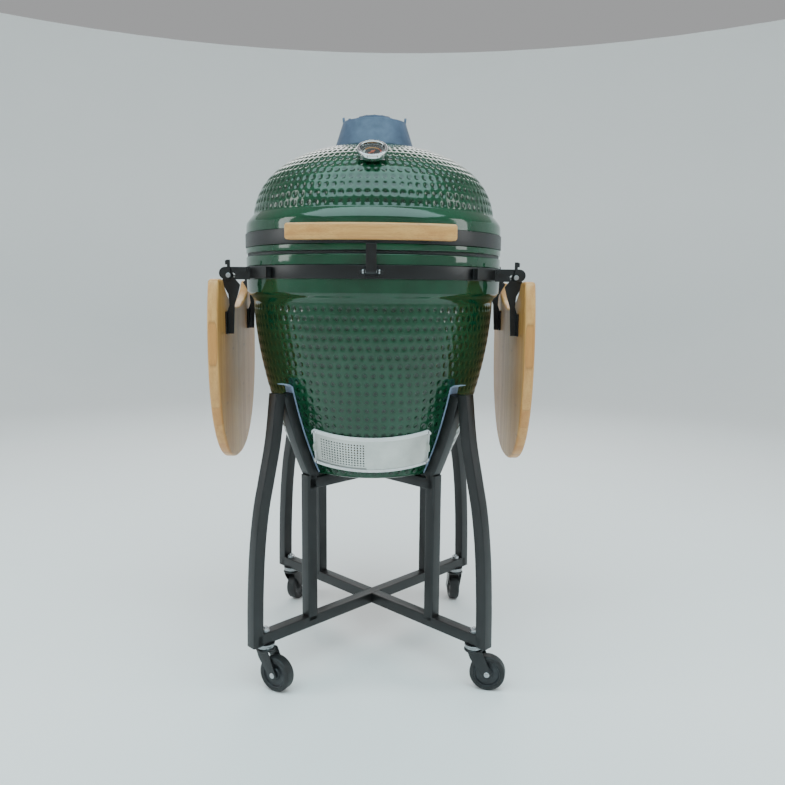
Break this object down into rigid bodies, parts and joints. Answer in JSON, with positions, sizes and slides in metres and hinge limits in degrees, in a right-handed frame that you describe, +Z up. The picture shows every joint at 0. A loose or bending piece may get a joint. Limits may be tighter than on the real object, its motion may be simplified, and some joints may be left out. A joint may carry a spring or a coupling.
{
  "type": "kamado ceramic grill",
  "caption": "Egg-shaped green ceramic charcoal grill with dimpled glaze, bamboo handle and fold-down side shelves, on a black tube stand with casters.",
  "frame": {"origin": "on the floor, on the vertical axis of the egg, at the middle of the whole object", "axes": "+Z up, +Y from the front of the grill to its rear hinge, +X to the right of someone who faces the front"},
  "size_m": [0.66, 0.7198, 1.2193],
  "materials": {
    "green_glaze": "gloss glaze",
    "fire_clay": "matte",
    "gasket_felt": "pressed felt",
    "black_powder_coat": "powder coat",
    "painted_cast_iron": "heat-resistant paint on cast iron",
    "bare_cast_iron": "seasoned",
    "laminated_bamboo": "oiled",
    "brushed_stainless": "brushed",
    "chrome": "polished",
    "bright_zinc": "zinc plated",
    "spring_steel": "black oxide",
    "dial_black": "printed",
    "needle_orange": "painted",
    "lens_glass": "clear",
    "caster_tread": "moulded"
  },
  "bodies": {
    "base": {"base_shell": "green_glaze", "fire_box": "fire_clay", "fire_ring": "fire_clay", "base_gasket": "gasket_felt", "charcoal_grate": "bare_cast_iron", "cooking_grid": "bare_cast_iron", "base_band": "black_powder_coat", "base_hinge_bracket": "black_powder_coat", "hinge_pin": "bright_zinc", "hinge_spring_left": "spring_steel", "hinge_spring_right": "spring_steel", "latch_bracket": "black_powder_coat", "latch_pin": "bright_zinc", "draft_frame": "brushed_stainless", "shelf_bracket_left_front": "black_powder_coat", "shelf_bracket_left_rear": "black_powder_coat", "shelf_bracket_right_front": "black_powder_coat", "shelf_bracket_right_rear": "black_powder_coat", "leg_frame_front_left": "black_powder_coat", "leg_frame_front_right": "black_powder_coat", "leg_frame_rear_left": "black_powder_coat", "leg_frame_rear_right": "black_powder_coat", "caster_stem_front_left": "bright_zinc", "caster_stem_front_right": "bright_zinc", "caster_stem_rear_left": "bright_zinc", "caster_stem_rear_right": "bright_zinc"},
    "lid": {"lid_shell": "green_glaze", "lid_gasket": "gasket_felt", "lid_band": "black_powder_coat", "lid_hinge_bracket": "black_powder_coat", "lid_handle": "laminated_bamboo", "handle_bracket_left": "black_powder_coat", "handle_bracket_right": "black_powder_coat", "vent_cap_body": "painted_cast_iron", "thermometer_case": "chrome", "thermometer_dial": "dial_black", "thermometer_glass": "lens_glass"},
    "latch": {"latch_arm": "black_powder_coat"},
    "vent_disc": {"vent_cap_disc": "painted_cast_iron", "daisy_bolt": "bright_zinc"},
    "vent_wheel": {"daisy_wheel": "painted_cast_iron"},
    "needle": {"thermometer_needle": "needle_orange"},
    "door_panel": {"draft_door": "brushed_stainless"},
    "screen_panel": {"draft_screen": "brushed_stainless"},
    "carriage_left": {"shelf_rod_left": "bright_zinc"},
    "side_shelf_left": {"shelf_left": "laminated_bamboo", "shelf_arm_left_front": "black_powder_coat", "shelf_arm_left_rear": "black_powder_coat"},
    "carriage_right": {"shelf_rod_right": "bright_zinc"},
    "side_shelf_right": {"shelf_right": "laminated_bamboo", "shelf_arm_right_front": "black_powder_coat", "shelf_arm_right_rear": "black_powder_coat"},
    "swivel_front_left": {"caster_fork_front_left": "black_powder_coat"},
    "swivel_front_right": {"caster_fork_front_right": "black_powder_coat"},
    "swivel_rear_left": {"caster_fork_rear_left": "black_powder_coat"},
    "swivel_rear_right": {"caster_fork_rear_right": "black_powder_coat"},
    "roll_front_left": {"caster_wheel_front_left": "caster_tread"},
    "roll_front_right": {"caster_wheel_front_right": "caster_tread"},
    "roll_rear_left": {"caster_wheel_rear_left": "caster_tread"},
    "roll_rear_right": {"caster_wheel_rear_right": "caster_tread"}
  },
  "joints": [
    {"name": "lid_hinge", "type": "hinge", "parent": "base", "child": "lid", "pos_m": [0, 0.338, 0.9095], "axis": [-1, 0, 0], "range_deg": [0, 78]},
    {"name": "latch_pivot", "type": "hinge", "parent": "base", "child": "latch", "pos_m": [0, -0.2946, 0.872], "axis": [1, 0, 0], "range_deg": [0, 100]},
    {"name": "vent_disc_swing", "type": "hinge", "parent": "lid", "child": "vent_disc", "pos_m": [-0.0545, 0, 1.204], "axis": [0, 0, 1], "range_deg": [0, 70]},
    {"name": "daisy_turn", "type": "hinge", "parent": "vent_disc", "child": "vent_wheel", "pos_m": [0, 0, 1.211], "axis": [0, 0, 1], "range_deg": [0, 45]},
    {"name": "needle_turn", "type": "hinge", "parent": "lid", "child": "needle", "pos_m": [0, -0.21032, 1.095], "axis": [0, 0.6191, -0.7853], "range_deg": [0, 270]},
    {"name": "draft_door_slide", "type": "hinge", "parent": "base", "child": "door_panel", "pos_m": [0, 0.00404, 0.57026], "axis": [0, 0.342, -0.9397], "range_deg": [0, 15.2]},
    {"name": "draft_screen_slide", "type": "hinge", "parent": "base", "child": "screen_panel", "pos_m": [0, 0.00404, 0.57026], "axis": [0, -0.342, 0.9397], "range_deg": [0, 14.4]},
    {"name": "shelf_pull_left", "type": "slide", "parent": "base", "child": "carriage_left", "axis": [1, 0, 0], "range_m": [0, 0.008]},
    {"name": "shelf_fold_left", "type": "hinge", "parent": "carriage_left", "child": "side_shelf_left", "pos_m": [-0.301, 0, 0.8655], "axis": [0, 1, 0], "range_deg": [0, 90]},
    {"name": "shelf_pull_right", "type": "slide", "parent": "base", "child": "carriage_right", "axis": [-1, 0, 0], "range_m": [0, 0.008]},
    {"name": "shelf_fold_right", "type": "hinge", "parent": "carriage_right", "child": "side_shelf_right", "pos_m": [0.301, 0, 0.8655], "axis": [0, -1, 0], "range_deg": [0, 90]},
    {"name": "caster_swivel_front_left", "type": "hinge", "parent": "base", "child": "swivel_front_left", "pos_m": [-0.22062, -0.22062, 0.086], "axis": [0, 0, 1], "continuous": true},
    {"name": "caster_roll_front_left", "type": "hinge", "parent": "swivel_front_left", "child": "roll_front_left", "pos_m": [-0.1949, -0.23607, 0.0375], "axis": [0.515, 0.8572, 0], "continuous": true},
    {"name": "caster_swivel_front_right", "type": "hinge", "parent": "base", "child": "swivel_front_right", "pos_m": [0.22062, -0.22062, 0.086], "axis": [0, 0, 1], "continuous": true},
    {"name": "caster_roll_front_right", "type": "hinge", "parent": "swivel_front_right", "child": "roll_front_right", "pos_m": [0.24985, -0.22737, 0.0375], "axis": [0.225, 0.9744, 0], "continuous": true},
    {"name": "caster_swivel_rear_right", "type": "hinge", "parent": "base", "child": "swivel_rear_right", "pos_m": [0.22062, 0.22062, 0.086], "axis": [0, 0, 1], "continuous": true},
    {"name": "caster_roll_rear_right", "type": "hinge", "parent": "swivel_rear_right", "child": "roll_rear_right", "pos_m": [0.21852, 0.25054, 0.0375], "axis": [-0.9976, -0.0698, 0], "continuous": true},
    {"name": "caster_swivel_rear_left", "type": "hinge", "parent": "base", "child": "swivel_rear_left", "pos_m": [-0.22062, 0.22062, 0.086], "axis": [0, 0, 1], "continuous": true},
    {"name": "caster_roll_rear_left", "type": "hinge", "parent": "swivel_rear_left", "child": "roll_rear_left", "pos_m": [-0.207, 0.24735, 0.0375], "axis": [-0.891, 0.454, 0], "continuous": true}
  ]
}
